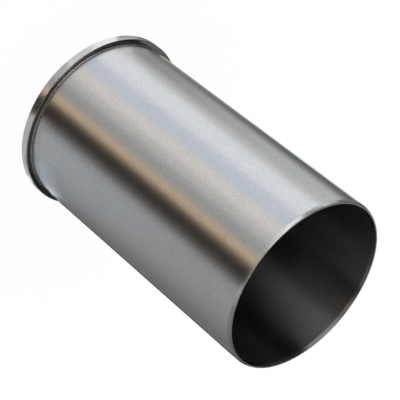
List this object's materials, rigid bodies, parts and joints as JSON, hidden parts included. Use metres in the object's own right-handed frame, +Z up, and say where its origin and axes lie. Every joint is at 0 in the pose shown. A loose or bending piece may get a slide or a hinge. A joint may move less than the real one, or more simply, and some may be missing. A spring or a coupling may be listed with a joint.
{
  "type": "cylinder liner",
  "caption": "Flanged dry cylinder liner: a thin-walled sleeve with a ground outside, a honed bore, an undercut below its flange and a tapered plain end.",
  "frame": {"origin": "centre of the flange's deck face, on the axis, where the liner stands", "axes": "+Z up along the axis, from the flange to the plain end"},
  "size_m": [0.1, 0.1, 0.1655],
  "materials": {
    "liner": "ground outside, honed bore"
  },
  "bodies": {
    "root": {"liner": "liner"}
  },
  "joints": []
}
